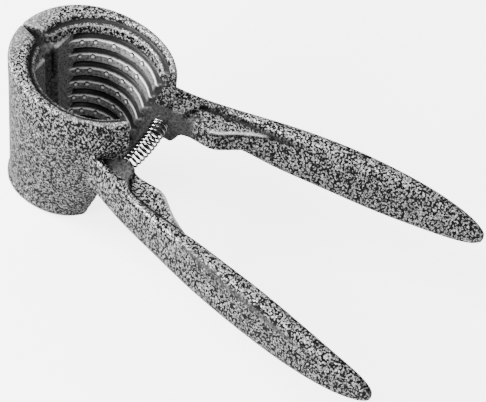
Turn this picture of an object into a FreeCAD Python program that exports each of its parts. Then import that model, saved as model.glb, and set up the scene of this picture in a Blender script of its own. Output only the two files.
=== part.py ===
import FreeCAD, Part
import math
import os

from FreeCAD import Vector

# Lever nutcracker press, drawn open as it rests.
# Each jaw is one casting: half of a ribbed funnel cup with its own handle.
# The jaws turn on an upright pin inside the wall opposite the handles,
# and a coil spring beside the cup pushes the handles apart.
# Lengths are in millimetres. The cup axis and the pin run along +Z, and the handles reach out along +X.
# Heights are given as depths below the rim, because the rim is where the cup is widest.

CUP_HEIGHT = 80.0
BAND_DEPTH = 14.6
RIM_EDGE = 0.8
FOOT_BEVEL = 1.8

# Cup outlines as seen from above: middle, mean radius and how much longer than wide
RIM_MIDDLE = 29.7
RIM_RADIUS = 28.9
RIM_STRETCH = 2.6
FOOT_MIDDLE = 15.0
FOOT_RADIUS = 18.9
FOOT_STRETCH = 1.6

# Raised edge round the foot, strongest under the hinge
FOOT_EDGE_MIDDLE = 14.3
FOOT_EDGE_RADIUS = 19.2
FOOT_EDGE_TOP_DEPTH = 75.2
FOOT_EDGE_STEP = 0.8

# Chamber outlines, out to the bottom of the grooves
MOUTH_MIDDLE = 32.9
MOUTH_RADIUS = 24.8
MOUTH_STRETCH = 1.4
OUTLET_MIDDLE = 20.0
OUTLET_RADIUS = 14.2
OUTLET_STRETCH = -0.5

# Ribs that grip the nut
RIB_HEIGHT = 2.3
RIB_PITCH = 7.6
RIB_LAND = 4.2
RIB_SLOPE = 0.7
FIRST_RIB_DEPTH = 2.7
RIB_COUNT = 11

# Each jaw stands this far open, measured from the outer corner where the two jaws meet
OPEN_ANGLE = math.radians(13.9)
MEETING_X = -1.2
JAW_GAP = 0.3

# The rim is cut back further beside the hinge: half angle of the gap and how far in it goes
RIM_GAP_ANGLE = math.radians(18.7)
RIM_GAP_END_X = 13.0

# Hinge
PIN_X = 5.5
PIN_RADIUS = 1.75
PIN_RUNNING_CLEARANCE = 0.06
KNUCKLE_RADIUS = 5.0
KNUCKLE_CLEARANCE = 0.4
BOSS_FACE_X = 11.7
HINGE_TOP_DEPTH = 7.4
KNUCKLE_ENDS = (7.4, 10.4, 25.0, 44.6, 60.2, 72.0)
KNUCKLE_END_GAP = 0.2
PIN_TOP_DEPTH = 7.9
PIN_BOTTOM_DEPTH = 71.5

# Barrel round the hinge, standing out from the cup below its band: depth and radius at each level
BARREL_LEVELS = ((8.6, 8.2), (11.6, 9.7), (77.6, 12.0), (80.0, 10.6))

# Handle sections from the cup to the tip: x, outer face y, thickness, top depth, bottom depth
HANDLE_SECTIONS = (
    (44.0, 22.0, 3.8, 16.6, 38.0),
    (56.0, 25.4, 3.6, 21.0, 40.0),
    (68.0, 28.5, 3.6, 22.0, 41.2),
    (80.0, 31.5, 4.7, 21.6, 41.6),
    (92.0, 34.3, 6.5, 20.7, 42.6),
    (106.0, 37.0, 7.3, 20.0, 43.3),
    (122.0, 39.3, 7.3, 19.8, 43.9),
    (136.0, 40.9, 6.9, 20.7, 43.9),
    (149.0, 42.0, 6.2, 22.4, 42.8),
    (160.0, 42.3, 5.3, 24.6, 41.0),
    (168.0, 42.0, 4.3, 27.2, 38.4),
    (172.0, 41.4, 3.0, 29.6, 36.0),
    (173.5, 40.8, 1.6, 31.2, 34.4),
)
HANDLE_SQUARENESS = 4.5
SECTION_POINTS = 28

# Hollow along the outside of each handle
HOLLOW_START_X = 76.0
HOLLOW_END_X = 138.0
HOLLOW_RADIUS = 16.0
HOLLOW_DEPTH = 1.1
HOLLOW_MIDDLE_DEPTH = 30.5

# Web between the cup and the handle: x and y of its inner edge, from the spring lug to the grip,
# and where its outer edge runs inside the handle
WEB_INNER_EDGE = (
    (59.8, 15.3), (66.5, 15.9), (72.5, 16.4), (77.0, 19.3), (81.5, 22.6), (86.5, 25.3), (93.0, 28.4),
)
WEB_OUTER_X = (80.0, 68.0, 56.0)
WEB_TOP_DEPTH = 24.4
WEB_BOTTOM_DEPTH = 34.6

# Spring lug beside the cup: distance from the meeting corner and depth of each corner of its face
LUG_ROOT_X = 46.0
LUG_END = 62.6
LUG_TOP_DEPTH = 22.0
LUG_FACE = (
    (44.0, LUG_TOP_DEPTH), (LUG_END, LUG_TOP_DEPTH), (LUG_END, 33.4), (58.6, 40.2), (50.0, 38.2), (44.0, 36.0),
)
LUG_THICKNESS = 7.5

# Level top of the lug, behind its face: x and y of its corners against the handle's outer wall
FLOOR_CORNERS = ((60.6, 20.5), (64.5, 25.0), (46.0, 21.0))
FLOOR_SINK = 1.0

# Return spring, bowed so that each end sits square on its lug
SPRING_BOW_RADIUS = 54.0
SPRING_DEPTH = 31.5
SPRING_RADIUS = 3.0
SPRING_WIRE_RADIUS = 0.4
SPRING_TURNS = 15
SPRING_END_GAP = 0.03
SPRING_POINTS_PER_TURN = 12
PEG_RADIUS = 1.9
PEG_LENGTH = 3.5

FAR = 400.0


def height(depth):
    """Z of a point at this depth below the rim."""
    return CUP_HEIGHT - depth


def oval_wire(middle, radius, stretch, depth, inset=0.0, points=28):
    """Closed outline r = radius + stretch * cos(2 * angle) - inset around (middle, 0)."""
    corners = []
    for i in range(points):
        angle = 2.0 * math.pi * i / points
        r = radius + stretch * math.cos(2.0 * angle) - inset
        corners.append(Vector(middle + r * math.cos(angle), r * math.sin(angle), height(depth)))
    curve = Part.BSplineCurve()
    curve.interpolate(Points=corners, PeriodicFlag=True)
    return Part.Wire(curve.toShape())


def between(start, end, share):
    return start + (end - start) * share


def cup_outline(depth, inset=0.0):
    """Outside of the cup: straight down to the band's lower edge, then tapering to the foot."""
    share = max(0.0, (depth - BAND_DEPTH) / (CUP_HEIGHT - BAND_DEPTH))
    middle = between(RIM_MIDDLE, FOOT_MIDDLE, share)
    radius = between(RIM_RADIUS, FOOT_RADIUS, share)
    stretch = between(RIM_STRETCH, FOOT_STRETCH, share)
    return oval_wire(middle, radius, stretch, depth, inset)


def chamber_outline(depth, inset=0.0):
    """Inside of the cup at the bottom of the grooves, or further in by the inset."""
    share = depth / CUP_HEIGHT
    middle = between(MOUTH_MIDDLE, OUTLET_MIDDLE, share)
    radius = between(MOUTH_RADIUS, OUTLET_RADIUS, share)
    stretch = between(MOUTH_STRETCH, OUTLET_STRETCH, share)
    return oval_wire(middle, radius, stretch, depth, inset)


def make_cup():
    outlines = [
        cup_outline(0.0, RIM_EDGE),
        cup_outline(RIM_EDGE),
        cup_outline(BAND_DEPTH),
        cup_outline(CUP_HEIGHT - FOOT_BEVEL),
        cup_outline(CUP_HEIGHT, FOOT_BEVEL),
    ]
    return Part.makeLoft(outlines, True, True)


def make_foot_edge():
    """Shallow raised edge round the foot, flush with the cup at its top."""
    outlines = [
        oval_wire(FOOT_EDGE_MIDDLE, FOOT_EDGE_RADIUS, FOOT_STRETCH, FOOT_EDGE_TOP_DEPTH, FOOT_EDGE_STEP),
        oval_wire(FOOT_EDGE_MIDDLE, FOOT_EDGE_RADIUS, FOOT_STRETCH, FOOT_EDGE_TOP_DEPTH + FOOT_EDGE_STEP),
        oval_wire(FOOT_EDGE_MIDDLE, FOOT_EDGE_RADIUS, FOOT_STRETCH, CUP_HEIGHT - FOOT_BEVEL),
        oval_wire(FOOT_EDGE_MIDDLE, FOOT_EDGE_RADIUS, FOOT_STRETCH, CUP_HEIGHT, FOOT_BEVEL),
    ]
    return Part.makeLoft(outlines, True, True)


def make_barrel():
    """Outer barrel centred on the pin, slightly wider towards the foot as it leaves the mould."""
    profile = [Vector(PIN_X, 0.0, height(BARREL_LEVELS[0][0]))]
    profile += [Vector(PIN_X + radius, 0.0, height(depth)) for depth, radius in BARREL_LEVELS]
    profile.append(Vector(PIN_X, 0.0, height(BARREL_LEVELS[-1][0])))
    profile.append(profile[0])
    return Part.Face(Part.makePolygon(profile)).revolve(profile[0], Vector(0.0, 0.0, 1.0), 360.0)


def make_chamber():
    """The hollow the nut goes into, with the ribs standing into it."""
    outlines = [chamber_outline(-1.0, -1.5), chamber_outline(RIM_EDGE)]
    for rib in range(RIB_COUNT):
        crest = FIRST_RIB_DEPTH + rib * RIB_PITCH
        outlines.append(chamber_outline(crest - RIB_SLOPE))
        outlines.append(chamber_outline(crest, RIB_HEIGHT))
        if crest + RIB_LAND + RIB_SLOPE < CUP_HEIGHT:
            outlines.append(chamber_outline(crest + RIB_LAND, RIB_HEIGHT))
            outlines.append(chamber_outline(crest + RIB_LAND + RIB_SLOPE))
    outlines.append(chamber_outline(CUP_HEIGHT + 1.0, RIB_HEIGHT))
    hollow = Part.makeLoft(outlines, True, True)
    boss_room = Part.makeBox(
        FAR, FAR, FAR, Vector(BOSS_FACE_X - FAR, -FAR / 2.0, height(HINGE_TOP_DEPTH) - FAR)
    )
    return hollow.cut(boss_room)


def handle_section(x, outer_y, thickness, top_depth, bottom_depth):
    """Rounded flat bar section standing on edge, across the handle at x."""
    half_wide = thickness / 2.0
    half_tall = (bottom_depth - top_depth) / 2.0
    middle_y = outer_y - half_wide
    middle_z = height((top_depth + bottom_depth) / 2.0)
    power = 2.0 / HANDLE_SQUARENESS
    corners = []
    for i in range(SECTION_POINTS):
        angle = 2.0 * math.pi * (i + 0.5) / SECTION_POINTS
        c = math.cos(angle)
        s = math.sin(angle)
        y = middle_y + half_wide * math.copysign(abs(c) ** power, c)
        z = middle_z + half_tall * math.copysign(abs(s) ** power, s)
        corners.append(Vector(x, y, z))
    curve = Part.BSplineCurve()
    curve.interpolate(Points=corners, PeriodicFlag=True)
    return Part.Wire(curve.toShape())


def handle_value(x, column):
    """A handle dimension at x, read between the two nearest sections."""
    for before, after in zip(HANDLE_SECTIONS, HANDLE_SECTIONS[1:]):
        if x <= after[0]:
            share = (x - before[0]) / (after[0] - before[0])
            return between(before[column], after[column], share)
    return HANDLE_SECTIONS[-1][column]


def make_handle():
    bar = Part.makeLoft([handle_section(*section) for section in HANDLE_SECTIONS], True, False)
    return bar.cut(make_hollow())


def make_hollow():
    """Spindle that leaves a shallow hollow, fading out at both ends."""
    ends = []
    for x in (HOLLOW_START_X, HOLLOW_END_X):
        ends.append(Vector(x, handle_value(x, 1), height(HOLLOW_MIDDLE_DEPTH)))
    start, end = ends
    along = (end - start).normalize()
    outward = Vector(-along.y, along.x, 0.0).normalize()
    middle_x = (HOLLOW_START_X + HOLLOW_END_X) / 2.0
    face_bulge = handle_value(middle_x, 1) - (start.y + end.y) / 2.0
    axis_offset = HOLLOW_RADIUS - HOLLOW_DEPTH + face_bulge
    axis_start = start + outward * axis_offset
    axis_end = end + outward * axis_offset
    fade = HOLLOW_DEPTH * 1.6 + face_bulge
    near_start = axis_start - outward * (HOLLOW_RADIUS - fade)
    near_end = axis_end - outward * (HOLLOW_RADIUS - fade)
    near_middle = (axis_start + axis_end) * 0.5 - outward * HOLLOW_RADIUS
    profile = Part.Wire([
        Part.makeLine(axis_start, near_start),
        Part.Arc(near_start, near_middle, near_end).toShape(),
        Part.makeLine(near_end, axis_end),
        Part.makeLine(axis_end, axis_start),
    ])
    return Part.Face(profile).revolve(axis_start, along, 360.0)


def make_web():
    """Plate between the cup, the spring lug and the handle, with a rounded inner edge."""
    inner = [Vector(x, y, height(WEB_BOTTOM_DEPTH)) for x, y in WEB_INNER_EDGE]
    curve = Part.BSplineCurve()
    curve.interpolate(Points=inner)
    outer = []
    for x in (WEB_INNER_EDGE[-1][0],) + WEB_OUTER_X + (LUG_ROOT_X,):
        y = handle_value(x, 1) - handle_value(x, 2) / 2.0
        outer.append(Vector(x, y, height(WEB_BOTTOM_DEPTH)))
    cup_side = Vector(LUG_ROOT_X, parting_y(LUG_ROOT_X), height(WEB_BOTTOM_DEPTH))
    corners = [inner[-1]] + outer + [cup_side, inner[0]]
    outline = Part.Wire([curve.toShape()] + [Part.makeLine(a, b) for a, b in zip(corners, corners[1:])])
    return Part.Face(outline).extrude(Vector(0.0, 0.0, WEB_BOTTOM_DEPTH - WEB_TOP_DEPTH))


def parting_y(x):
    """Y of the open jaw's parting face at x."""
    return (x - MEETING_X) * math.tan(OPEN_ANGLE)


def parting_point(distance, depth):
    """Point on the open jaw's parting face, this far from the corner where the jaws meet."""
    x = MEETING_X + distance * math.cos(OPEN_ANGLE)
    return Vector(x, distance * math.sin(OPEN_ANGLE), height(depth))


PARTING_NORMAL = Vector(-math.sin(OPEN_ANGLE), math.cos(OPEN_ANGLE), 0.0)


def make_lug():
    corners = [parting_point(distance, depth) for distance, depth in LUG_FACE]
    corners.append(corners[0])
    return Part.Face(Part.makePolygon(corners)).extrude(PARTING_NORMAL * LUG_THICKNESS)


def make_floor():
    """Level top of the lug, from its face back to the handle's outer wall."""
    low = height(WEB_TOP_DEPTH + FLOOR_SINK)
    corners = [parting_point(LUG_ROOT_X, 0.0), parting_point(LUG_END, 0.0)]
    corners = [Vector(corner.x, corner.y, low) for corner in corners]
    corners += [Vector(x, y, low) for x, y in FLOOR_CORNERS]
    corners.append(corners[0])
    return Part.Face(Part.makePolygon(corners)).extrude(Vector(0.0, 0.0, height(LUG_TOP_DEPTH) - low))


def make_rim_gap():
    """Wedge taken out of the rim beside the hinge, on the rear jaw's side."""
    low = height(HINGE_TOP_DEPTH)
    reach = RIM_GAP_END_X - MEETING_X
    corners = [
        Vector(MEETING_X, 0.0, low),
        Vector(RIM_GAP_END_X, 0.0, low),
        Vector(RIM_GAP_END_X, reach * math.tan(RIM_GAP_ANGLE), low),
        Vector(MEETING_X, 0.0, low),
    ]
    return Part.Face(Part.makePolygon(corners)).extrude(Vector(0.0, 0.0, HINGE_TOP_DEPTH + 1.0))


def make_jaw_side():
    """Everything on one jaw's side of the parting faces."""
    corners = [
        Vector(-FAR, JAW_GAP / 2.0, 0.0),
        Vector(MEETING_X + JAW_GAP / 2.0 / math.tan(OPEN_ANGLE), JAW_GAP / 2.0, 0.0),
        Vector(FAR, parting_y(FAR), 0.0),
        Vector(FAR, FAR, 0.0),
        Vector(-FAR, FAR, 0.0),
    ]
    corners.append(corners[0])
    side = Part.Face(Part.makePolygon(corners)).extrude(Vector(0.0, 0.0, CUP_HEIGHT + 2.0))
    side.translate(Vector(0.0, 0.0, -1.0))
    return side


def make_peg():
    """Peg cast on the lug that keeps the spring in place."""
    return Part.makeCylinder(
        PEG_RADIUS,
        PEG_LENGTH + 1.0,
        parting_point(SPRING_BOW_RADIUS, SPRING_DEPTH) + PARTING_NORMAL,
        PARTING_NORMAL * -1.0,
    )


def upright_cylinder(radius, top_depth, bottom_depth):
    return Part.makeCylinder(radius, bottom_depth - top_depth, Vector(PIN_X, 0.0, height(bottom_depth)))


def make_jaw(first_knuckle, bore_radius, on_far_side):
    """One jaw with its handle. Knuckles alternate down the pin, starting from first_knuckle."""
    solid = make_cup().fuse([make_foot_edge(), make_barrel(), make_lug(), make_floor()])
    solid = solid.common(make_jaw_side()).cut(make_rim_gap())
    solid = solid.fuse([make_handle(), make_web(), make_peg()])
    if not on_far_side:
        solid = solid.mirror(Vector(0.0, 0.0, 0.0), Vector(0.0, 1.0, 0.0))
    zones = list(zip(KNUCKLE_ENDS, KNUCKLE_ENDS[1:]))
    own = []
    others = []
    for index, (top, bottom) in enumerate(zones):
        if index % 2 == first_knuckle:
            own.append(upright_cylinder(KNUCKLE_RADIUS, top + KNUCKLE_END_GAP, bottom - KNUCKLE_END_GAP))
        else:
            others.append(upright_cylinder(KNUCKLE_RADIUS + KNUCKLE_CLEARANCE, top, bottom))
    solid = solid.fuse(own)
    solid = solid.cut(others)
    solid = solid.cut([make_chamber(), upright_cylinder(bore_radius, 0.0, CUP_HEIGHT)])
    return solid.removeSplitter()


def make_pin():
    return upright_cylinder(PIN_RADIUS, PIN_TOP_DEPTH, PIN_BOTTOM_DEPTH)


def make_spring():
    """Round wire wound around an arc that is centred on the corner where the jaws meet."""
    half_arc = OPEN_ANGLE - (SPRING_WIRE_RADIUS + SPRING_END_GAP) / SPRING_BOW_RADIUS
    steps = SPRING_TURNS * SPRING_POINTS_PER_TURN
    points = []
    for i in range(steps + 1):
        share = i / steps
        along = half_arc * (1.0 - 2.0 * share)
        turn = 2.0 * math.pi * SPRING_TURNS * share
        reach = SPRING_BOW_RADIUS + SPRING_RADIUS * math.cos(turn)
        x = MEETING_X + reach * math.cos(along)
        y = reach * math.sin(along)
        points.append(Vector(x, y, height(SPRING_DEPTH) + SPRING_RADIUS * math.sin(turn)))
    path = Part.BSplineCurve()
    path.interpolate(Points=points)
    start = path.value(path.FirstParameter)
    direction = path.tangent(path.FirstParameter)[0]
    ring = Part.Wire(Part.makeCircle(SPRING_WIRE_RADIUS, start, direction))
    return Part.Wire(path.toShape()).makePipeShell([ring], True, True)


def largest_solid(shape):
    return max(shape.Solids, key=lambda solid: solid.Volume)


def main():
    nodes = {
        "jaw_rear": largest_solid(make_jaw(0, PIN_RADIUS, True)),
        "jaw_front": largest_solid(make_jaw(1, PIN_RADIUS + PIN_RUNNING_CLEARANCE, False)),
        "hinge_pin": make_pin(),
        "return_spring": make_spring(),
    }
    box = Part.makeCompound(list(nodes.values())).optimalBoundingBox(False, False)
    to_origin = Vector(-(box.XMin + box.XMax) / 2.0, 0.0, 0.0)
    os.makedirs("parts", exist_ok=True)
    for name, shape in nodes.items():
        shape.translate(to_origin)
        shape.exportStep("parts/" + name + ".step")
        print(name, "valid" if shape.isValid() else "not valid", round(shape.Volume / 1000.0, 2), "cm3")
    print("hinge pin axis x", round(PIN_X + to_origin.x, 4))


main()
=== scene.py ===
import math

import bmesh
import bpy
import numpy as np
from mathutils import Matrix, Vector


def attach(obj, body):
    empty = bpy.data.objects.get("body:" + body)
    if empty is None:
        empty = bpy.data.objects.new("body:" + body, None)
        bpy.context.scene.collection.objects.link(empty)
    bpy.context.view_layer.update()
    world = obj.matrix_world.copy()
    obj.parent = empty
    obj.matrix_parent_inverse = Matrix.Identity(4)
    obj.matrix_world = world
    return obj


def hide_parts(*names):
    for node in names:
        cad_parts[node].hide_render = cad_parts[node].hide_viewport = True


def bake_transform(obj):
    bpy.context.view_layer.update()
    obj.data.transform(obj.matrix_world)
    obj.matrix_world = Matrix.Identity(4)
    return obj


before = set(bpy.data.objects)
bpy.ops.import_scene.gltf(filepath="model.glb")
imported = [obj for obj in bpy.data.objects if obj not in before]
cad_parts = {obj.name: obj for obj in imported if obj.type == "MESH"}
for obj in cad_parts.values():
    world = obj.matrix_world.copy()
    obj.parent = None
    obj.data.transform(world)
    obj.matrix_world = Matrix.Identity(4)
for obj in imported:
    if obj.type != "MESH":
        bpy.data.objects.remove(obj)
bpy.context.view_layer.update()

# Lever nutcracker press. Shape values are in millimetres in the press's own frame:
# X from the hinge corner towards the handles, Y towards the rear jaw, depth down from the rim.
MM = 0.001
HINGE_CORNER_X = -83.5004
CUP_HEIGHT = 80.0
OPEN_ANGLE = math.radians(13.9)
# Where the flat faces of the open jaws would meet
MEETING_X = -1.2

# Chamber outline at the bottom of the grooves: middle, mean radius, stretch
MOUTH = np.array((32.9, 24.8, 1.4))
OUTLET = np.array((20.0, 14.2, -0.5))
RIB_HEIGHT = 2.3
RIB_PITCH = 7.6
RIB_LAND = 4.2
FIRST_RIB_DEPTH = 2.7
BOSS_FACE_X = 11.7
HINGE_TOP_DEPTH = 7.4

# Chamber lining: how far it reaches past the wall, and where it starts on the rim and below the first rib
WALL_REACH = 0.5
WALL_FADE = 0.3
RIM_GROOVE_TOP = 1.0
RIM_GROOVE_FADE = 0.5
GROOVE_CREST = 0.8
GROOVE_CREST_FADE = 0.2
LINING_FADE = 0.8
# Ribs are duller near the lugs: angle round the chamber in degrees, and share lost
LUG_SIDE_ANGLE = 85.0
LUG_SIDE_SPAN = 40.0
LUG_SIDE_LOSS = 0.2

# Hinge boss: margins of its face, how worn the face is, and the painted highlight along its top
BOSS_MARGIN = 0.4
BOSS_TOP_MARGIN = 0.3
BOSS_CREST = 0.93
BOSS_SHINE = 0.7
BOSS_SHINE_DROP = 0.2
BOSS_SHINE_TALL = 0.5
BOSS_SHINE_WIDE = 0.9

# Painted highlights on the rib edges: the crest values between which the highlight starts, and the lines at
# each edge of a rib
RIB_HIGHLIGHT_CREST = 0.433
RIB_HIGHLIGHT_FADE = 0.333
RIB_HIGHLIGHT_ABOVE = 1.0
FIRST_RIB_HIGHLIGHT = 0.25
UPPER_LINE_DROP = 0.3
LOWER_LINE_RISE = 0.1
LINE_CORE = 0.08
UPPER_LINE_REACH = 0.4
LOWER_LINE_REACH = 0.32
LOWER_LINE_STRENGTH = 0.4

# Nubs on the ribs: which ribs, angle round the chamber in degrees, and their size
NUB_RIBS = np.arange(1, 9)
NUB_ANGLES = (139.0, 125.3, 105.5, 83.5, 68.0)
NUB_DROP = 1.2
NUB_HEIGHT = 0.65
NUB_SIDES = 10
# Rings of a nub from tip to foot: height, radius, share of painted highlight, share kept free of the painted
# groove shade
NUB_PROFILE = np.array((
    (0.58, 0.36, 1.0, 1.0),
    (0.40, 0.62, 0.9, 1.0),
    (0.12, 0.80, 0.0, 0.5),
    (0.06, 1.10, 0.0, 0.0),
    (-0.4, 1.10, 0.0, 0.0),
))

# Lug: its end, root and top, and how far its top reaches from the meeting face
LUG_END_X = 62.5
LUG_ROOT_X = 44.0
LUG_TOP_DEPTH = 22.0
LUG_TOP_REACH = 6.8

# Thin dark paint on the meeting faces, and painted shade in the V by the hinge, on the rear jaw's outer
# corner and on the front jaw's lug top
FACE_REACH = 1.0
FACE_FADE = 0.6
FACE_RISE = 1.5
UPPER_FACE_SHARE = 0.15
CORNER_REACH = 3.4
CORNER_FADE = 0.8
CORNER_WIDE = 2.2
CORNER_DROP = 1.5
LUG_TOP_TALL = 0.7
PAINTED_RIM_DEPTH = 1.2
PAINTED_RIM_FADE = 0.8

# Painted shade along the upper side of the hollow in each handle: x, its depth and the y of the outer face
# there
STREAK_X = (86.0, 101.0, 119.0, 132.0, 148.0)
STREAK_DEPTH = (21.0, 21.6, 23.0, 24.4, 27.0)
STREAK_FACE_Y = (33.0, 36.0, 38.9, 40.5, 41.9)
STREAK_TALL = 1.5
STREAK_SKIN = 2.2
STREAK_SKIN_FADE = 0.8
STREAK_END_FADE = 10.0

# Painted shade in the corner between the top of the web and the handle's inner face: x and y along it
BAND_X = (57.0, 68.0, 80.0, 92.0, 106.0)
BAND_Y = (22.2, 24.9, 26.8, 27.8, 29.7)
BAND_INWARD = 0.3
BAND_WIDE = 1.1
BAND_TOP_DEPTH = 21.9
BAND_END_DEPTH = 26.0
BAND_DEPTH_FADE = 0.5
BAND_ROOT_FADE = 4.0
BAND_TIP_FADE = 10.0

# Inner edge of the web's top: x, y and depth, with the painted shade under it and the painted highlight along
# it
PAD_X = (66.5, 72.5, 77.0, 81.5, 86.5, 93.0)
PAD_Y = (15.9, 16.4, 19.3, 22.6, 25.3, 28.4)
PAD_DEPTH = 24.4
PAD_ROOT_GAP = 3.0
PAD_ROOT_FADE = 3.0
PAD_TIP_REACH = 2.0
PAD_TIP_FADE = 6.0
PAD_SHADE_DROP = 1.3
PAD_SHADE_TALL = 0.55
PAD_SHADE_WIDE = 1.3
PAD_SHINE = 0.5
PAD_SHINE_DROP = 0.1
PAD_SHINE_TALL = 0.4
PAD_SHINE_OUT = 0.3
PAD_SHINE_WIDE = 0.8

# Smooth paint on the rim beside the hinge, and a painted sheen that evens out the paint in a stripe down the
# outer barrel
CALM_END_X = 6.5
CALM_FADE = 4.0
CALM_DEPTH = 1.2
CALM_DEPTH_FADE = 0.5
STRIPE_X = 0.3
STRIPE_WIDE = 1.8
STRIPE_FROM_Y = 7.0
STRIPE_TOP_DEPTH = 14.0
STRIPE_TOP_FADE = 4.0
STRIPE_END_DEPTH = 72.0
STRIPE_END_FADE = 6.0

# Casting skin
CAST_VOXEL = 0.56
CAST_SMOOTHING = 5
CAST_MERGE = 0.001
EDGE_SPREAD = 2

# Return spring
SPRING_BOW_RADIUS = 54.0
SPRING_DEPTH = 31.5
COIL_RADIUS = 3.0
WIRE_RADIUS = 0.4
COIL_TURNS = 14.5
CLOSED_TURNS = 1.0
STEPS_PER_TURN = 28
WIRE_SIDES = 10

# Greys of the casting's paint, from the darkest to the brightest: painted shade in inner corners and in the
# grooves, thin paint and painted shade, the lining, an even grey with a painted sheen, edge wear, and painted
# highlights
CORNER_SHADE_GREY = 0.006
GROOVE_SHADE_GREY = 0.02
THIN_PAINT_AND_SHADE_GREYS = (0.035, 0.11)
LAND_GREYS = (0.11, 0.32)
CALM_AND_SHEEN_GREY = 0.32
EDGE_GREY = 0.6
HIGHLIGHT_GREY = 0.95

# How much of each coat, painted shade and painted sheen shows, and the paint's gloss outside and inside the
# chamber
EDGE_WEAR_SHARE = 0.2
CALM_AND_SHEEN_SHARE = 0.38
THIN_PAINT_AND_SHADE_SHARE = 0.9
OUTSIDE_METAL = 0.55
OUTSIDE_ROUGHNESS = 0.4
INSIDE_ROUGHNESS = 0.26
PAINT_SPECULAR = 0.12
PAINT_RELIEF = 0.10

# Steel: bump height, and the grey of the painted shade on the inner side of the coil
STEEL_RELIEF = 0.02
COIL_SHADE_GREY = 0.02

# Camera, in metres and degrees, at the photograph's angle
CAMERA_PLACE = Vector((0.17707, -0.32763, 0.54588))
CAMERA_AZIMUTH = 26.67
CAMERA_ELEVATION = 53.46
CAMERA_ROLL = 7.82
CAMERA_LENS = 128.0
SENSOR_WIDTH = 36.0
CLIP_RANGE = (0.01, 20.0)

# Studio, in metres and watts. The floor is paler to the camera than to the lights.
FLOOR_REACH = 3.0
FLOOR_GREY = 0.3
FLOOR_GREY_SEEN = 0.9
FLOOR_GLOW = 4.0
FLOOR_ROUGHNESS = 0.9
LIT_CENTRE = (0.0, 0.0, 0.04)
# Softboxes: name, place, size, power
SOFTBOXES = (
    ("key_softbox", (-0.75, -0.3, 0.75), 0.45, 27.0),
    ("fill_softbox", (-0.4, -0.85, 0.65), 0.45, 17.0),
    ("top_softbox", (0.2, -0.4, 1.1), 0.4, 4.5),
    ("back_softbox", (-0.15, 0.55, 1.0), 0.6, 3.5),
)
WORLD_STRENGTH = 0.09


def add_camera():
    """Camera looking along azimuth and elevation, rolled about its own line of sight."""
    a = math.radians(CAMERA_AZIMUTH)
    e = math.radians(CAMERA_ELEVATION)
    roll = math.radians(CAMERA_ROLL)
    right = Vector((math.cos(a), math.sin(a), 0.0))
    forward = Vector((-math.sin(a) * math.cos(e), math.cos(a) * math.cos(e), -math.sin(e)))
    up = right.cross(forward)
    turned_right = right * math.cos(roll) + up * math.sin(roll)
    turned_up = up * math.cos(roll) - right * math.sin(roll)
    data = bpy.data.cameras.new("camera")
    data.lens = CAMERA_LENS
    data.sensor_width = SENSOR_WIDTH
    data.clip_start, data.clip_end = CLIP_RANGE
    camera = bpy.data.objects.new("camera", data)
    axes = Matrix((turned_right, turned_up, -forward)).transposed()
    camera.matrix_world = Matrix.Translation(CAMERA_PLACE) @ axes.to_4x4()
    bpy.context.scene.collection.objects.link(camera)
    bpy.context.scene.camera = camera


# Meshes

def link(name, mesh):
    """A new object at the world origin, shaded smooth."""
    mesh.polygons.foreach_set("use_smooth", np.ones(len(mesh.polygons), dtype=bool))
    obj = bpy.data.objects.new(name, mesh)
    bpy.context.scene.collection.objects.link(obj)
    return obj


def to_row(points):
    """Press millimetres (x, y, depth) to row-frame metres."""
    x, y, depth = points[..., 0], points[..., 1], points[..., 2]
    return np.stack((x + HINGE_CORNER_X, y, CUP_HEIGHT - depth), axis=-1) * MM


def vertex_places(mesh, field="co"):
    """One vector per vertex: its place, or its normal."""
    values = np.empty(len(mesh.vertices) * 3)
    mesh.vertices.foreach_get(field, values)
    return values.reshape(-1, 3)


def set_mask(mesh, name, values):
    """One number per vertex, stored under a name that the materials read."""
    attribute = mesh.attributes.new(name, "FLOAT", "POINT")
    attribute.data.foreach_set("value", values.astype(np.float32))


def neighbour_mean(mesh, values):
    """Mean of a per-vertex array over the vertices joined to each vertex by an edge."""
    ends = np.empty(len(mesh.edges) * 2, dtype=np.int64)
    mesh.edges.foreach_get("vertices", ends)
    a, b = ends.reshape(-1, 2).T
    count = len(mesh.vertices)
    into = np.concatenate((a, b))
    source = np.concatenate((b, a))
    share = np.bincount(into, minlength=count).clip(1)
    sums = np.stack([np.bincount(into, column[source], count) for column in values.T], axis=1)
    return sums / share[:, None]


def curve_mask(mesh, rounds):
    """Curvature: (vertex - mean of neighbours) . normal, divided by the voxel size and evened out over
    that many rounds of neighbours. Outward edges are positive and hollows negative."""
    places = vertex_places(mesh)
    normals = vertex_places(mesh, "normal")
    offsets = places - neighbour_mean(mesh, places)
    stand_out = (offsets * normals).sum(axis=1, keepdims=True) / (CAST_VOXEL * MM)
    for _ in range(rounds):
        stand_out = (stand_out + neighbour_mean(mesh, stand_out)) / 2.0
    return stand_out[:, 0]


def chamber_wall(depth, angle):
    """(middle, R) of the chamber at the bottom of the grooves: R = radius + stretch * cos(2 angle),
    where middle, radius and stretch run evenly from mouth to outlet."""
    share = depth[..., None] / CUP_HEIGHT
    middle, radius, stretch = np.moveaxis(MOUTH + (OUTLET - MOUTH) * share, -1, 0)
    return middle, radius + stretch * np.cos(2.0 * angle)


def near(values, target, width):
    """1 at the target, falling away as a bell of that width."""
    return np.exp(-((values - target) / width) ** 2)


def rise(values, start, width):
    """0 up to the start, then evenly up to 1 over that width."""
    return np.clip((values - start) / width, 0.0, 1.0)


def fall(values, end, width):
    """0 past the end, and evenly up to 1 over that width before it."""
    return np.clip((end - values) / width, 0.0, 1.0)


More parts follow.
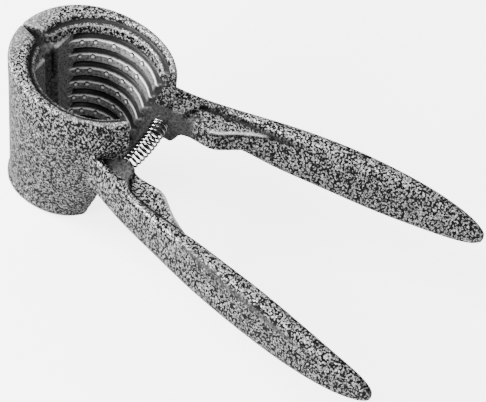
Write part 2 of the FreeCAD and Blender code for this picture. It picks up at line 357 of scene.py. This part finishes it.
def chamber_masks(x, y, depth):
    """inside: within the chamber wall, below the first rib, which carries the outside paint.
    crest: (R - r) / rib height, 0 in a groove and 1 on a rib, and nearly 1 on the hinge boss.
    rib_highlight_zone: where the ribs' edges carry a painted highlight.
    shine: a painted highlight along the boss's top edge."""
    middle = chamber_wall(depth, np.zeros_like(depth))[0]
    angle = np.arctan2(y, x - middle)
    wall = chamber_wall(depth, angle)[1]
    r = np.hypot(x - middle, y)
    in_wall = fall(r, wall + WALL_REACH, WALL_FADE)
    on_boss = (x < BOSS_FACE_X + BOSS_MARGIN) * (depth > HINGE_TOP_DEPTH - BOSS_TOP_MARGIN)
    crest = fall(r, wall, RIB_HEIGHT) * in_wall * (1.0 - on_boss)
    crest *= 1.0 - LUG_SIDE_LOSS * fall(np.degrees(angle), LUG_SIDE_ANGLE, LUG_SIDE_SPAN)
    rim_groove = rise(depth, RIM_GROOVE_TOP, RIM_GROOVE_FADE) * (depth < FIRST_RIB_DEPTH)
    rim_groove *= fall(crest, GROOVE_CREST, GROOVE_CREST_FADE)
    below_first_rib = rise(depth, FIRST_RIB_DEPTH + RIB_LAND, LINING_FADE)
    # Painted highlight along the rib edges
    rib_highlight_zone = rise(crest, RIB_HIGHLIGHT_CREST, RIB_HIGHLIGHT_FADE) * (1.0 - on_boss)
    rib_highlight_zone *= depth > FIRST_RIB_DEPTH - RIB_HIGHLIGHT_ABOVE
    rib_highlight_zone *= np.where(depth < FIRST_RIB_DEPTH + RIB_LAND, FIRST_RIB_HIGHLIGHT, 1.0)
    # Painted highlight along the top edge of the hinge boss
    shine = BOSS_SHINE * near(depth, HINGE_TOP_DEPTH + BOSS_SHINE_DROP, BOSS_SHINE_TALL) * in_wall
    shine *= near(x, BOSS_FACE_X, BOSS_SHINE_WIDE)
    return {
        "inside": in_wall * np.maximum(rim_groove, below_first_rib),
        "crest": np.maximum(crest, BOSS_CREST * on_boss * in_wall),
        "rib_highlight_zone": rib_highlight_zone,
        "shine": shine,
    }


def thin_paint_and_shade_mask(x, y, depth, side):
    """Thin paint on the flat faces where the jaws would meet, and painted shade in the V by the hinge, on the
    outer corner of the rear jaw and on the lug's top of the front jaw, from the distance off the plane in
    which each jaw meets the other."""
    off_plane = y * math.cos(OPEN_ANGLE) - (x - MEETING_X) * math.sin(OPEN_ANGLE)
    before_end = x < LUG_END_X
    on_face = fall(off_plane, FACE_REACH, FACE_FADE) * before_end
    # At the hinge the dark meeting faces are painted shade in the V between the jaws
    low_or_at_hinge = (depth > LUG_TOP_DEPTH - FACE_RISE) | (x < BOSS_FACE_X)
    on_face *= np.where(low_or_at_hinge, 1.0, UPPER_FACE_SHARE)
    # Painted shade on the rear jaw's outer corner by the lug
    on_corner = fall(off_plane, CORNER_REACH, CORNER_FADE) * near(x, LUG_END_X, CORNER_WIDE)
    on_corner *= (depth > LUG_TOP_DEPTH + CORNER_DROP) * (side > 0.0)
    # Painted shade on the front jaw's lug top, in the gap beside the cup
    on_lug_top = near(depth, LUG_TOP_DEPTH, LUG_TOP_TALL) * (off_plane < LUG_TOP_REACH)
    on_lug_top *= (x > LUG_ROOT_X) * before_end * (side < 0.0)
    thin_and_shade = np.maximum(np.maximum(on_face, on_lug_top), on_corner)
    return thin_and_shade * rise(depth, PAINTED_RIM_DEPTH, PAINTED_RIM_FADE)


def hollow_shade_mask(x, y, depth):
    """Painted shade on the upper side of the hollow in each handle's outer face."""
    # Painted shade under the upper edge of the hollow
    hollow_shade = near(depth, np.interp(x, STREAK_X, STREAK_DEPTH), STREAK_TALL)
    hollow_shade *= rise(y, np.interp(x, STREAK_X, STREAK_FACE_Y) - STREAK_SKIN, STREAK_SKIN_FADE)
    return hollow_shade * rise(x, STREAK_X[0], STREAK_END_FADE) * fall(x, STREAK_X[-1], STREAK_END_FADE)


def web_masks(x, y, depth):
    """band: painted shade in the corner where the web's top meets the handle, and under the web's inner edge.
    shine: a painted highlight along that inner edge."""
    # Painted shade in the corner where the web's top meets the handle's inner face
    band = near(y, np.interp(x, BAND_X, BAND_Y) - BAND_INWARD, BAND_WIDE)
    band *= rise(depth, BAND_TOP_DEPTH, BAND_DEPTH_FADE) * fall(depth, BAND_END_DEPTH, BAND_DEPTH_FADE)
    band *= rise(x, BAND_X[0], BAND_ROOT_FADE) * fall(x, BAND_X[-1], BAND_TIP_FADE)
    pad_y = np.interp(x, PAD_X, PAD_Y)
    on_pad = rise(x, PAD_X[0] + PAD_ROOT_GAP, PAD_ROOT_FADE)
    on_pad *= fall(x, PAD_X[-1] + PAD_TIP_REACH, PAD_TIP_FADE)
    # Painted shade under the web's inner edge
    under = near(depth, PAD_DEPTH + PAD_SHADE_DROP, PAD_SHADE_TALL) * near(y, pad_y, PAD_SHADE_WIDE)
    # Painted highlight along the web's inner edge
    along = near(depth, PAD_DEPTH + PAD_SHINE_DROP, PAD_SHINE_TALL)
    along *= near(y, pad_y + PAD_SHINE_OUT, PAD_SHINE_WIDE)
    return np.maximum(band, under * on_pad), PAD_SHINE * along * on_pad


def calm_and_sheen_mask(x, y, depth):
    """The rim beside the hinge, where the paint lies smooth, and a stripe down the outer barrel, where a
    painted sheen evens out the paint.
    """
    on_rim = fall(x, CALM_END_X, CALM_FADE) * fall(depth, CALM_DEPTH, CALM_DEPTH_FADE)
    # Painted sheen down the outer barrel: the paint is evened out to a flat grey here
    stripe = near(x, STRIPE_X, STRIPE_WIDE) * (y > STRIPE_FROM_Y)
    stripe *= rise(depth, STRIPE_TOP_DEPTH, STRIPE_TOP_FADE)
    stripe *= fall(depth, STRIPE_END_DEPTH, STRIPE_END_FADE)
    return np.maximum(on_rim, stripe)


def casting_masks(places):
    """All masks of a casting, worked out from where each vertex lies: x, distance from the middle
    plane, and depth below the rim."""
    x = places[:, 0] / MM - HINGE_CORNER_X
    y = np.abs(places[:, 1]) / MM
    depth = CUP_HEIGHT - places[:, 2] / MM
    masks = chamber_masks(x, y, depth)
    masks["thin_paint_and_shade"] = thin_paint_and_shade_mask(x, y, depth, places[:, 1])
    masks["hollow_shade"] = hollow_shade_mask(x, y, depth)
    masks["band"], pad_shine = web_masks(x, y, depth)
    masks["shine"] = np.maximum(masks["shine"], pad_shine)
    masks["calm_and_sheen"] = calm_and_sheen_mask(x, y, depth)
    return masks


def cast_piece(node_name, name):
    """The node's own skin rebuilt as an even casting: merged, remeshed on cubes and relaxed, so that
    every sharp corner turns into the small round that a sand or die casting has."""
    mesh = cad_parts[node_name].data.copy()
    shell = bmesh.new()
    shell.from_mesh(mesh)
    bmesh.ops.remove_doubles(shell, verts=shell.verts, dist=CAST_MERGE * MM)
    shell.to_mesh(mesh)
    shell.free()
    rough = link(name + "_rough", mesh)
    remesh = rough.modifiers.new("even skin", "REMESH")
    remesh.mode = "VOXEL"
    remesh.voxel_size = CAST_VOXEL * MM
    relax = rough.modifiers.new("soft edges", "SMOOTH")
    relax.factor = 0.5
    relax.iterations = CAST_SMOOTHING
    graph = bpy.context.evaluated_depsgraph_get()
    skin = bpy.data.meshes.new_from_object(rough.evaluated_get(graph))
    bpy.data.objects.remove(rough)
    skin.materials.clear()
    masks = casting_masks(vertex_places(skin))
    masks["edge"] = curve_mask(skin, EDGE_SPREAD)
    for label, values in masks.items():
        set_mask(skin, label, values)
    return link(name, skin)


def ring_faces(rows, sides):
    """Walls and caps of a closed skin numbered as rows of sides vertices, then a pole for the first row
    and a pole for the last."""
    i, j = np.meshgrid(np.arange(rows - 1), np.arange(sides), indexing="ij")
    k = (j + 1) % sides
    walls = np.stack((i * sides + j, i * sides + k, (i + 1) * sides + k, (i + 1) * sides + j), axis=-1)
    around = np.arange(sides)
    after = (around + 1) % sides
    last = (rows - 1) * sides
    first_cap = np.stack((after, around, np.full(sides, rows * sides)), axis=1)
    last_cap = np.stack((last + around, last + after, np.full(sides, rows * sides + 1)), axis=1)
    return walls.reshape(-1, 4), np.concatenate((first_cap, last_cap))


def rib_nubs(name, side):
    """Small round nubs on the ribs, each turned from one profile:
    base + radius * (cos(v) * along + sin(v) * down) + height * inward."""
    rib, angle = [grid.ravel() for grid in np.meshgrid(NUB_RIBS, np.radians(NUB_ANGLES), indexing="ij")]
    depth = FIRST_RIB_DEPTH + rib * RIB_PITCH + NUB_DROP
    middle, wall = chamber_wall(depth, angle)
    r = wall - RIB_HEIGHT
    flat = np.zeros_like(angle)
    base = np.stack((middle + r * np.cos(angle), side * r * np.sin(angle), depth), axis=-1)[:, None, None]
    inward = np.stack((-np.cos(angle), -side * np.sin(angle), flat), axis=-1)[:, None, None]
    along = np.stack((-np.sin(angle), side * np.cos(angle), flat), axis=-1)[:, None, None]
    down = np.array((0.0, 0.0, 1.0))
    v = np.linspace(0.0, 2.0 * np.pi, NUB_SIDES, endpoint=False)[None, :, None]
    height, radius, highlight_share, unshaded = NUB_PROFILE.T
    ring = np.cos(v) * along + np.sin(v) * down
    body = base + radius[:, None, None] * ring + height[:, None, None] * inward
    tip = base[:, 0] + NUB_HEIGHT * inward[:, 0]
    foot = base[:, 0] + height[-1] * inward[:, 0]
    count = len(angle)
    points = np.concatenate((body.reshape(count, -1, 3), tip, foot), axis=1)
    walls, caps = ring_faces(len(NUB_PROFILE), NUB_SIDES)
    start = (np.arange(count) * points.shape[1])[:, None, None]
    faces = (walls + start).reshape(-1, 4).tolist() + (caps + start).reshape(-1, 3).tolist()
    mesh = bpy.data.meshes.new(name)
    mesh.from_pydata(to_row(points.reshape(-1, 3)), [], faces)
    shell = bmesh.new()
    shell.from_mesh(mesh)
    bmesh.ops.recalc_face_normals(shell, faces=shell.faces)
    shell.to_mesh(mesh)
    shell.free()
    # The nub tips carry a painted highlight, and their feet fall into the painted groove shade
    for label, rings in (("inside", np.ones_like(highlight_share)), ("crest", unshaded), ("shine", highlight_share)):
        one = np.concatenate((np.repeat(rings, NUB_SIDES), rings[:1], rings[-1:]))
        set_mask(mesh, label, np.tile(one, count))
    return link(name, mesh)


def tube_mesh(name, path, toward, radius, sides):
    """Round tube P + radius * (cos v * N + sin v * B) along the points P, where N is toward the side given
    at each point, squared to the path, and B completes the frame. Both ends close on a pole."""
    tangent = np.gradient(path, axis=0)
    tangent /= np.linalg.norm(tangent, axis=1, keepdims=True)
    normal = toward - (toward * tangent).sum(axis=1, keepdims=True) * tangent
    normal /= np.linalg.norm(normal, axis=1, keepdims=True)
    side = np.cross(tangent, normal)
    v = np.linspace(0.0, 2.0 * np.pi, sides, endpoint=False)
    ring = np.cos(v)[None, :, None] * normal[:, None] + np.sin(v)[None, :, None] * side[:, None]
    body = (path[:, None] + radius * ring).reshape(-1, 3)
    points = np.concatenate((body, path[:1], path[-1:]))
    walls, caps = ring_faces(len(path), sides)
    mesh = bpy.data.meshes.new(name)
    mesh.from_pydata(to_row(points), [], walls.tolist() + caps.tolist())
    set_mask(mesh, "outer_side", np.concatenate((np.tile(np.cos(v), len(path)), (0.0, 0.0))))
    return mesh


def coil_spring():
    """Wire wound on an arc about the corner where the jaws meet: at turn t the wire lies at
    corner + bow radius * outward(a) + coil radius * (cos(2 pi t) * outward(a) - sin(2 pi t) * down).
    The angle a moves by the wire's own thickness per turn in the closed end turns, and evenly between."""
    total = 2.0 * (OPEN_ANGLE - WIRE_RADIUS / SPRING_BOW_RADIUS)
    closed = CLOSED_TURNS * 2.0 * WIRE_RADIUS / SPRING_BOW_RADIUS
    turn = np.linspace(0.0, COIL_TURNS, int(COIL_TURNS * STEPS_PER_TURN) + 1)
    stops = (0.0, CLOSED_TURNS, COIL_TURNS - CLOSED_TURNS, COIL_TURNS)
    a = total / 2.0 - np.interp(turn, stops, (0.0, closed, total - closed, total))
    phase = 2.0 * np.pi * turn
    outward = np.stack((np.cos(a), np.sin(a), np.zeros_like(a)), axis=1)
    down = np.array((0.0, 0.0, 1.0))
    toward = np.cos(phase)[:, None] * outward - np.sin(phase)[:, None] * down
    corner = np.array((MEETING_X, 0.0, SPRING_DEPTH))
    path = corner + SPRING_BOW_RADIUS * outward + COIL_RADIUS * toward
    return link("coil_spring", tube_mesh("coil_spring", path, toward, WIRE_RADIUS, WIRE_SIDES))


# Materials

def node(tree, kind, inputs=None, **settings):
    """A shader node with its settings and inputs; an input given as a socket is linked."""
    made = tree.nodes.new(kind)
    for key, value in settings.items():
        setattr(made, key, value)
    for key, value in (inputs or {}).items():
        if isinstance(value, bpy.types.NodeSocket):
            tree.links.new(value, made.inputs[key])
        else:
            made.inputs[key].default_value = value
    return made


def maths(tree, operation, *values):
    """One step of arithmetic on numbers or sockets."""
    return node(tree, "ShaderNodeMath", dict(enumerate(values)), operation=operation).outputs[0]


def ramp(tree, value, low, high, start=0.0, end=1.0):
    """Smooth step of value from low to high, giving start to end."""
    inputs = {"Value": value, "From Min": low, "From Max": high, "To Min": start, "To Max": end}
    return node(tree, "ShaderNodeMapRange", inputs, interpolation_type="SMOOTHSTEP").outputs["Result"]


def mix(tree, share, first, second):
    """first * (1 - share) + second * share, for colours."""
    inputs = {0: share, 6: first, 7: second}
    return node(tree, "ShaderNodeMix", inputs, data_type="RGBA").outputs[2]


def grey(value):
    """A neutral colour of that brightness."""
    return (value, value, value, 1.0)


def scaled_place(tree, place, factors):
    """A place stretched by one factor per axis."""
    inputs = {0: place, 1: factors}
    return node(tree, "ShaderNodeVectorMath", inputs, operation="MULTIPLY").outputs[0]


def mask(tree, name):
    """A per-vertex number of the mesh."""
    return node(tree, "ShaderNodeAttribute", attribute_name=name).outputs["Fac"]


def group(name, inputs, outputs):
    """An empty node group with named, typed sockets: (tree, input sockets, output node)."""
    tree = bpy.data.node_groups.new(name, "ShaderNodeTree")
    for label, kind, value in inputs:
        socket = tree.interface.new_socket(label, in_out="INPUT", socket_type="NodeSocket" + kind)
        if value is not None:
            socket.default_value = value
    for label, kind in outputs:
        tree.interface.new_socket(label, in_out="OUTPUT", socket_type="NodeSocket" + kind)
    return tree, tree.nodes.new("NodeGroupInput").outputs, tree.nodes.new("NodeGroupOutput").inputs


def hammered_group():
    """Hammered paint: silver patches in black veins, about half and half. The patches are where a fine
    noise is high, cut apart along the borders of warped cells, and a slow noise shifts the balance.
    On upright walls the wet paint has sagged, so the pattern is drawn out along Z."""
    tree, given, result = group(
        "hammered_paint",
        (("Place", "Vector", None), ("Cells per Metre", "Float", 1180.0), ("Balance", "Float", 0.512),
         ("Vein Width", "Float", 0.08), ("Silver", "Color", grey(1.0)), ("Vein", "Color", grey(0.002))),
        (("Color", "Color"), ("Metal", "Float"), ("Height", "Float")),
    )
    cells = given["Cells per Metre"]
    sagged = scaled_place(tree, given["Place"], (1.0, 1.0, 0.62))
    slow = node(tree, "ShaderNodeTexNoise", {"Vector": sagged, "Scale": 260.0, "Detail": 1.0}).outputs[0]
    warp = node(tree, "ShaderNodeTexNoise", {"Vector": sagged, "Scale": cells, "Detail": 1.0})
    shift = node(
        tree, "ShaderNodeVectorMath", {0: warp.outputs["Color"], "Scale": 0.0012}, operation="SCALE",
    ).outputs[0]
    place = node(tree, "ShaderNodeVectorMath", {0: sagged, 1: shift}, operation="ADD").outputs[0]
    fine_scale = maths(tree, "MULTIPLY", cells, 1.15)
    fine = node(tree, "ShaderNodeTexNoise", {"Vector": sagged, "Scale": fine_scale, "Detail": 1.5}).outputs[0]
    balance = maths(tree, "ADD", given["Balance"], ramp(tree, slow, 0.3, 0.7, 0.014, -0.014))
    patch = ramp(tree, maths(tree, "SUBTRACT", fine, balance), -0.03, 0.03)
    cell = {"Vector": place, "Scale": cells}
    border = node(tree, "ShaderNodeTexVoronoi", cell, feature="DISTANCE_TO_EDGE").outputs["Distance"]
    apart = ramp(tree, maths(tree, "SUBTRACT", border, given["Vein Width"]), -0.04, 0.04)
    silver = maths(tree, "MULTIPLY", patch, apart)
    tint = node(tree, "ShaderNodeTexVoronoi", cell).outputs["Color"]
    cell_shade = node(tree, "ShaderNodeSeparateColor", {"Color": tint}).outputs[0]
    bright = maths(tree, "MULTIPLY", silver, ramp(tree, cell_shade, 0.0, 1.0, 0.5, 1.0))
    tree.links.new(mix(tree, bright, given["Vein"], given["Silver"]), result["Color"])
    tree.links.new(silver, result["Metal"])
    tree.links.new(maths(tree, "ADD", silver, maths(tree, "MULTIPLY", slow, 0.8)), result["Height"])
    return tree


def edge_wear_group():
    """Wear: 1 on outward curves, broken up by a fine noise."""
    tree, given, result = group(
        "edge_wear",
        (("Place", "Vector", None), ("Edge", "Float", 0.0), ("Start", "Float", 0.04),
         ("Full", "Float", 0.12)),
        (("Wear", "Float"),),
    )
    grain = node(tree, "ShaderNodeTexNoise", {"Vector": given["Place"], "Scale": 900.0, "Detail": 2.0})
    wear = ramp(tree, given["Edge"], given["Start"], given["Full"])
    broken = ramp(tree, grain.outputs[0], 0.32, 0.5, 0.35, 1.0)
    tree.links.new(maths(tree, "MULTIPLY", wear, broken), result["Wear"])
    return tree


def rib_line(tree, below_first, drop, pitch, reach, strength):
    """strength on a level line that far below the top of every rib, and 0 past its reach: the depth
    below the first rib, less the drop, is wrapped to half a rib pitch either way."""
    half = maths(tree, "MULTIPLY", pitch, 0.5)
    from_line = maths(tree, "SUBTRACT", below_first, drop)
    wrapped = maths(tree, "WRAP", from_line, half, maths(tree, "MULTIPLY", half, -1.0))
    return ramp(tree, maths(tree, "ABSOLUTE", wrapped), LINE_CORE, reach, strength, 0.0)


def rib_edges_group():
    """Edge: painted highlights as thin level lines at the upper edge of every rib and weaker ones at the
    lower edge.
    """
    tree, given, result = group(
        "rib_edges",
        (("Place", "Vector", None), ("Pitch", "Float", RIB_PITCH), ("First", "Float", FIRST_RIB_DEPTH),
         ("Land", "Float", RIB_LAND)),
        (("Edge", "Float"),),
    )
    z = node(tree, "ShaderNodeSeparateXYZ", {"Vector": given["Place"]}).outputs["Z"]
    depth = maths(tree, "SUBTRACT", CUP_HEIGHT, maths(tree, "DIVIDE", z, MM))
    below_first = maths(tree, "SUBTRACT", depth, given["First"])
    upper = rib_line(tree, below_first, UPPER_LINE_DROP, given["Pitch"], UPPER_LINE_REACH, 1.0)
    lower_drop = maths(tree, "SUBTRACT", given["Land"], LOWER_LINE_RISE)
    lower = rib_line(
        tree, below_first, lower_drop, given["Pitch"], LOWER_LINE_REACH, LOWER_LINE_STRENGTH,
    )
    tree.links.new(maths(tree, "MAXIMUM", upper, lower), result["Edge"])
    return tree


def drawn_steel_group():
    """Fine lines along the wire or round the pin: a noise squeezed on one axis, as height and as shade."""
    tree, given, result = group(
        "drawn_steel",
        (("Place", "Vector", None), ("Squeeze", "Vector", (1.0, 1.0, 1.0)), ("Base", "Color", grey(0.7))),
        (("Color", "Color"), ("Roughness", "Float"), ("Height", "Float")),
    )
    squeezed = scaled_place(tree, given["Place"], given["Squeeze"])
    noise = {"Vector": squeezed, "Scale": 1500.0, "Detail": 4.0, "Roughness": 0.6}
    lines = node(tree, "ShaderNodeTexNoise", noise).outputs[0]
    shade = ramp(tree, lines, 0.3, 0.7)
    tree.links.new(mix(tree, shade, grey(0.25), given["Base"]), result["Color"])
    tree.links.new(ramp(tree, lines, 0.3, 0.7, 0.26, 0.12), result["Roughness"])
    tree.links.new(lines, result["Height"])
    return tree


def new_material(name):
    """(material, its tree, Object coordinates, its shader)."""
    material = bpy.data.materials.new(name)
    material.use_nodes = True
    tree = material.node_tree
    place = tree.nodes.new("ShaderNodeTexCoord").outputs["Object"]
    return material, tree, place, tree.nodes["Principled BSDF"]


def finish_shader(tree, shader, values, height, relief):
    """Links or sets the shader's values, and bumps it by the height times the relief in millimetres."""
    bump = node(tree, "ShaderNodeBump", {"Height": height, "Strength": 0.6, "Distance": relief * MM})
    tree.links.new(bump.outputs[0], shader.inputs["Normal"])
    for key, value in values.items():
        if isinstance(value, bpy.types.NodeSocket):
            tree.links.new(value, shader.inputs[key])
        else:
            shader.inputs[key].default_value = value


def hammered_casting():
    """Outside skin in hammered paint, chamber in a darker, smoother coat with painted shade in its grooves
    and painted highlights on its rib edges, thin dark paint and painted shade on the meeting faces, and
    painted shade in the handle hollows and in every inner corner."""
    material, tree, place, shader = new_material("hammered_casting")
    inside, thin_paint_and_shade = mask(tree, "inside"), mask(tree, "thin_paint_and_shade")
    paint = node(tree, "ShaderNodeGroup", {"Place": place}, node_tree=HAMMERED)
    mottle = node(tree, "ShaderNodeTexNoise", {"Vector": place, "Scale": 1100.0, "Detail": 3.0}).outputs[0]
    patchy = ramp(tree, mottle, 0.36, 0.64)

    edge = mask(tree, "edge")
    wear = node(tree, "ShaderNodeGroup", {"Place": place, "Edge": edge}, node_tree=EDGE_WEAR)
    wear_share = maths(tree, "MULTIPLY", wear.outputs["Wear"], EDGE_WEAR_SHARE)
    outside = mix(tree, wear_share, paint.outputs["Color"], grey(EDGE_GREY))
    # Even grey on the rim by the hinge, and a painted sheen down the outer barrel
    calm_and_sheen_share = maths(tree, "MULTIPLY", mask(tree, "calm_and_sheen"), CALM_AND_SHEEN_SHARE)
    outside = mix(tree, calm_and_sheen_share, outside, grey(CALM_AND_SHEEN_GREY))

    land = mix(tree, patchy, grey(LAND_GREYS[0]), grey(LAND_GREYS[1]))
    on_land = ramp(tree, mask(tree, "crest"), 0.6, 0.95)
    # Painted shade in the grooves: off the ribs the lining falls to a near-black grey
    lining = mix(tree, on_land, grey(GROOVE_SHADE_GREY), land)
    skin = mix(tree, inside, outside, lining)
    edges = node(tree, "ShaderNodeGroup", {"Place": place}, node_tree=RIB_EDGES)
    # Painted highlights along the rib edges
    rib_highlight = maths(tree, "MULTIPLY", edges.outputs["Edge"], mask(tree, "rib_highlight_zone"))
    # Painted highlights: the rib edges, the top of the hinge boss, the web's inner edge and the nub tips turn
    # near white
    bright = maths(tree, "MAXIMUM", rib_highlight, mask(tree, "shine"))
    highlight_share = maths(tree, "MULTIPLY", bright, ramp(tree, mottle, 0.25, 0.5, 0.7, 1.0))
    skin = mix(tree, highlight_share, skin, grey(HIGHLIGHT_GREY))

    # Thin dark paint on the meeting faces, with painted shade in the V by the hinge, on the rear outer
    # corner, on the front lug top and in the handle hollows
    thin_and_shade = mix(tree, patchy, grey(THIN_PAINT_AND_SHADE_GREYS[0]), grey(THIN_PAINT_AND_SHADE_GREYS[1]))
    skin = mix(tree, maths(tree, "MULTIPLY", thin_paint_and_shade, THIN_PAINT_AND_SHADE_SHARE), skin, thin_and_shade)
    skin = mix(tree, maths(tree, "MULTIPLY", mask(tree, "hollow_shade"), THIN_PAINT_AND_SHADE_SHARE), skin, thin_and_shade)
    outer_share = maths(tree, "SUBTRACT", 1.0, inside)
    # Painted shade in every inner corner, joined below by the painted shade along the web
    corner_shade = maths(tree, "MULTIPLY", ramp(tree, edge, -0.09, -0.028, 1.0, 0.0), outer_share)
    painted_shade = maths(tree, "MAXIMUM", corner_shade, mask(tree, "band"))

    metal_share = ramp(tree, inside, 0.0, 1.0, OUTSIDE_METAL, 0.0)
    smooth = maths(tree, "MAXIMUM", inside, thin_paint_and_shade)
    values = {
        "Base Color": mix(tree, painted_shade, skin, grey(CORNER_SHADE_GREY)),
        "Roughness": ramp(tree, smooth, 0.0, 1.0, OUTSIDE_ROUGHNESS, INSIDE_ROUGHNESS),
        "Metallic": maths(tree, "MULTIPLY", paint.outputs["Metal"], metal_share),
        "Specular IOR Level": PAINT_SPECULAR,
    }
    finish_shader(tree, shader, values, paint.outputs["Height"], PAINT_RELIEF)
    return material


def steel(name, squeeze, base, shaded_by=None):
    """Bright steel; shaded_by names a mask that is low where painted shade darkens it."""
    material, tree, place, shader = new_material(name)
    inputs = {"Place": place, "Squeeze": squeeze, "Base": grey(base)}
    drawn = node(tree, "ShaderNodeGroup", inputs, node_tree=DRAWN_STEEL)
    color = drawn.outputs["Color"]
    if shaded_by:
        # Painted shade on the inner side of the coil
        unshaded = ramp(tree, mask(tree, shaded_by), -0.1, 0.7)
        color = mix(tree, unshaded, grey(COIL_SHADE_GREY), color)
    values = {"Base Color": color, "Roughness": drawn.outputs["Roughness"], "Metallic": 1.0}
    finish_shader(tree, shader, values, drawn.outputs["Height"], STEEL_RELIEF)
    return material


def dress(obj, material):
    """The object with that one material."""
    obj.data.materials.clear()
    obj.data.materials.append(material)
    return obj


# Studio

def add_floor():
    """Plain pale floor at the level of the cup's foot."""
    mesh = bpy.data.meshes.new("floor")
    corners = [(x * FLOOR_REACH, y * FLOOR_REACH, 0.0) for x, y in ((-1, -1), (1, -1), (1, 1), (-1, 1))]
    mesh.from_pydata(corners, [], [(0, 1, 2, 3)])
    floor = bpy.data.objects.new("floor", mesh)
    bpy.context.scene.collection.objects.link(floor)
    material, tree, _, shader = new_material("pale_floor")
    seen = node(tree, "ShaderNodeLightPath").outputs["Is Camera Ray"]
    tree.links.new(mix(tree, seen, grey(FLOOR_GREY), grey(FLOOR_GREY_SEEN)), shader.inputs["Base Color"])
    tree.links.new(mix(tree, seen, grey(0.0), grey(1.0)), shader.inputs["Emission Color"])
    shader.inputs["Emission Strength"].default_value = FLOOR_GLOW
    shader.inputs["Roughness"].default_value = FLOOR_ROUGHNESS
    dress(floor, material)


def add_softbox(name, place, size, power):
    """A square area light that faces the middle of the press."""
    data = bpy.data.lights.new(name, "AREA")
    data.size = size
    data.energy = power
    lamp = bpy.data.objects.new(name, data)
    lamp.location = place
    lamp.rotation_euler = (Vector(LIT_CENTRE) - Vector(place)).to_track_quat("-Z", "Y").to_euler()
    bpy.context.scene.collection.objects.link(lamp)


def add_studio():
    """Softboxes round the press and a faint even light from all sides."""
    for softbox in SOFTBOXES:
        add_softbox(*softbox)
    world = bpy.data.worlds.new("studio")
    world.use_nodes = True
    background = world.node_tree.nodes["Background"]
    background.inputs["Color"].default_value = grey(1.0)
    background.inputs["Strength"].default_value = WORLD_STRENGTH
    bpy.context.scene.world = world


add_camera()
HAMMERED = hammered_group()
EDGE_WEAR = edge_wear_group()
RIB_EDGES = rib_edges_group()
DRAWN_STEEL = drawn_steel_group()
casting = hammered_casting()

for half, side in (("rear", 1.0), ("front", -1.0)):
    piece = dress(cast_piece("jaw_" + half, "cast_jaw_" + half), casting)
    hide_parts("jaw_" + half)
    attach(piece, half + "_half")
    nubs = dress(rib_nubs("rib_nubs_" + half, side), casting)
    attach(nubs, half + "_half")

spring = dress(coil_spring(), steel("bright_spring_wire", (1.0, 1.0, 1.0), 0.9, shaded_by="outer_side"))
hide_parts("return_spring")
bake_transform(spring)

dress(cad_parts["hinge_pin"], steel("ground_pin_steel", (1.0, 1.0, 0.05), 0.6))

add_floor()
add_studio()
